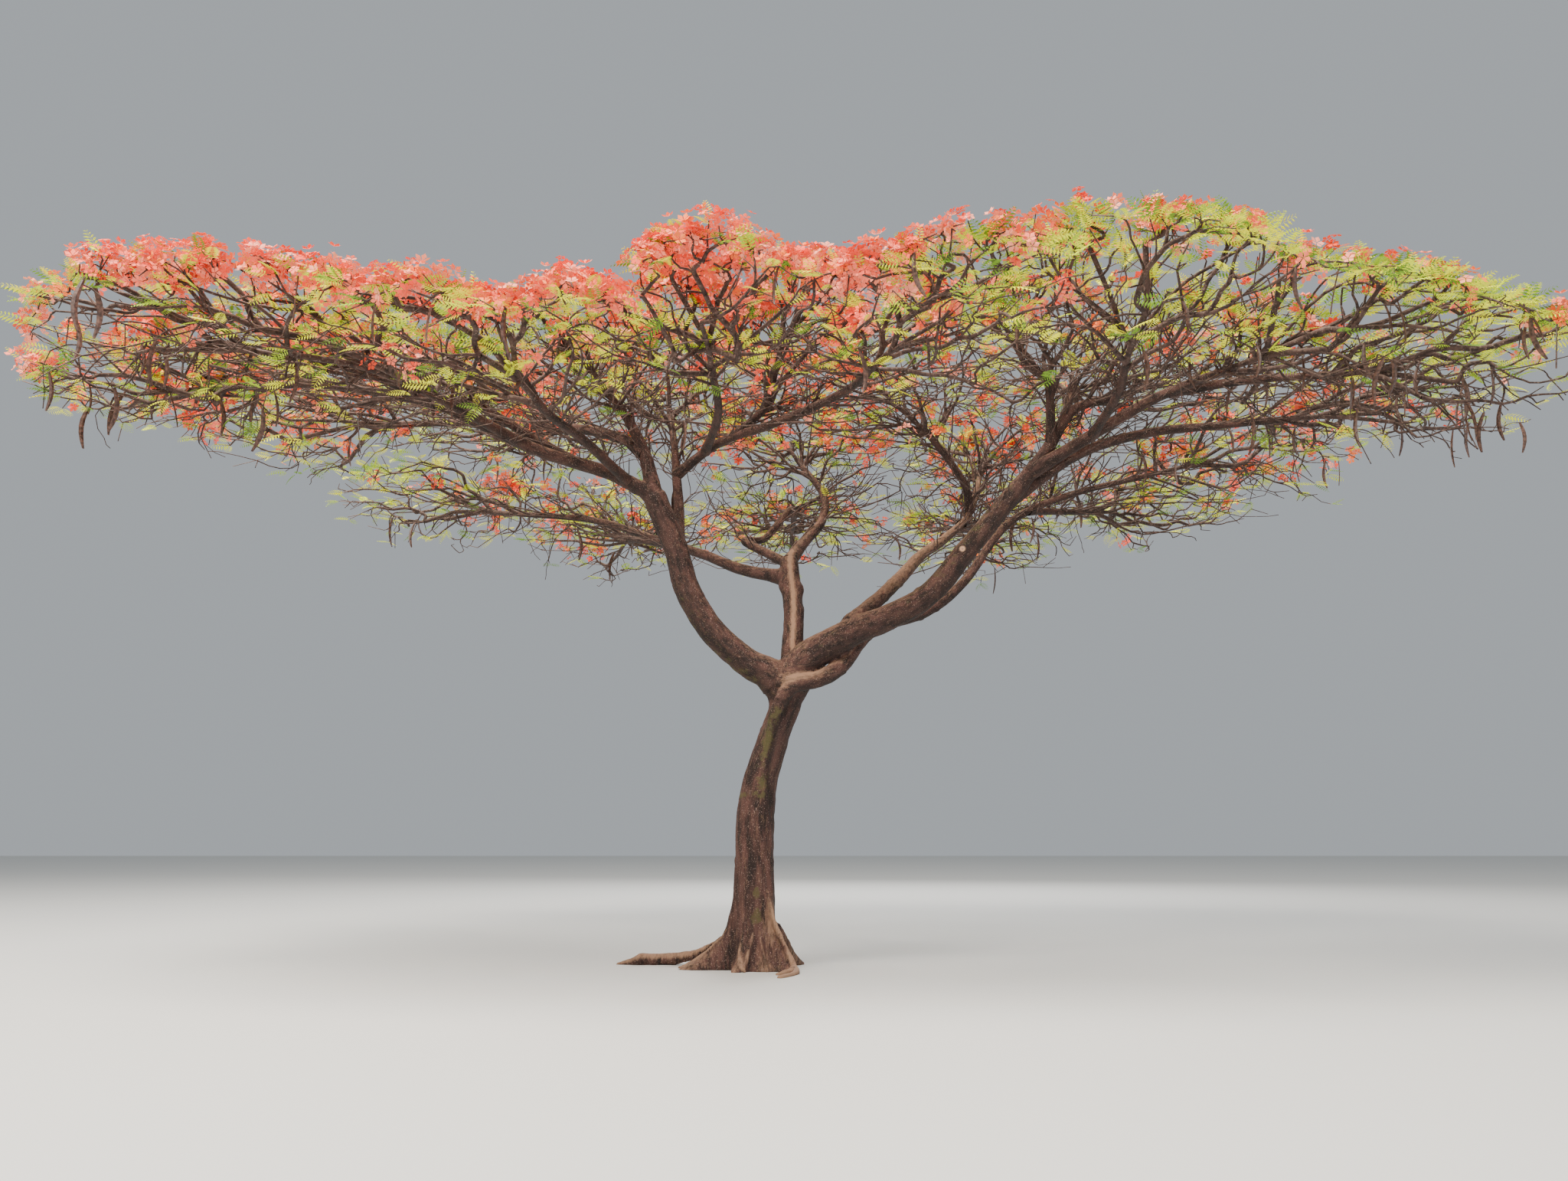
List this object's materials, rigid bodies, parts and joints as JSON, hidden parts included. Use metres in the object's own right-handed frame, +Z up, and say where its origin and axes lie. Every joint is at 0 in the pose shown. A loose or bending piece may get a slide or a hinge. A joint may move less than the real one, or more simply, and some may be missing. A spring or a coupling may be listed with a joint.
{
  "type": "flame tree",
  "caption": "Flame tree in bloom: a leaning trunk with root flare forks low into bent boughs under a wide flat umbrella crown of twigs, coral-red flower heads, feathery green leaves and pods.",
  "frame": {"origin": "middle of the trunk's flat cut at ground level", "axes": "+Z up; -Y towards the street, the side the picture was taken from; +X to the right as seen from there, the way the trunk leans"},
  "size_m": [17.1315, 13.0846, 8.2674],
  "materials": {
    "bark": "rough, smooth brown bark with pale worn ridges and olive moss patches",
    "flowering_crown": "matte coral-red petals among yellow-green leaves",
    "leafy_crown": "matte yellow-green leaves with some coral-red flowers"
  },
  "bodies": {
    "root": {"back_centre_bough": "bark", "back_left_bough": "bark", "back_left_low_bough": "bark", "back_right_bough": "bark", "back_right_corner_bough": "bark", "back_right_low_bough": "bark", "back_stem": "bark", "crest_far_right_bough": "bark", "crest_left_bough": "bark", "crest_right_bough": "bark", "front_centre_bough": "bark", "front_far_right_bough": "bark", "front_left_bough": "bark", "front_right_bough": "bark", "inner_back_bough": "bark", "inner_back_right_bough": "bark", "left_back_bough": "bark", "left_bough": "bark", "left_front_bough": "bark", "left_inner_back_bough": "bark", "left_low_tip_bough": "bark", "left_middle_bough": "bark", "left_tip_bough": "bark", "right_bough": "bark", "right_front_bough": "bark", "right_low_tip_bough": "bark", "right_middle_bough": "bark", "right_tip_bough": "bark", "top_centre_bough": "bark", "top_left_bough": "bark", "top_right_bough": "bark", "trunk": "bark", "back_centre_foliage": "leafy_crown", "back_left_foliage": "flowering_crown", "back_left_low_foliage": "flowering_crown", "back_right_corner_foliage": "leafy_crown", "back_right_foliage": "leafy_crown", "back_right_low_foliage": "leafy_crown", "crest_far_right_foliage": "leafy_crown", "crest_left_foliage": "flowering_crown", "crest_right_foliage": "flowering_crown", "front_centre_foliage": "flowering_crown", "front_far_right_foliage": "flowering_crown", "front_left_foliage": "flowering_crown", "front_right_foliage": "flowering_crown", "inner_back_foliage": "flowering_crown", "inner_back_right_foliage": "leafy_crown", "left_back_foliage": "leafy_crown", "left_front_foliage": "flowering_crown", "left_inner_back_foliage": "leafy_crown", "left_low_tip_foliage": "flowering_crown", "left_middle_foliage": "flowering_crown", "left_tip_foliage": "flowering_crown", "right_front_foliage": "leafy_crown", "right_low_tip_foliage": "leafy_crown", "right_middle_foliage": "leafy_crown", "right_tip_foliage": "leafy_crown", "top_centre_foliage": "flowering_crown", "top_left_foliage": "flowering_crown", "top_right_foliage": "flowering_crown"}
  },
  "joints": []
}
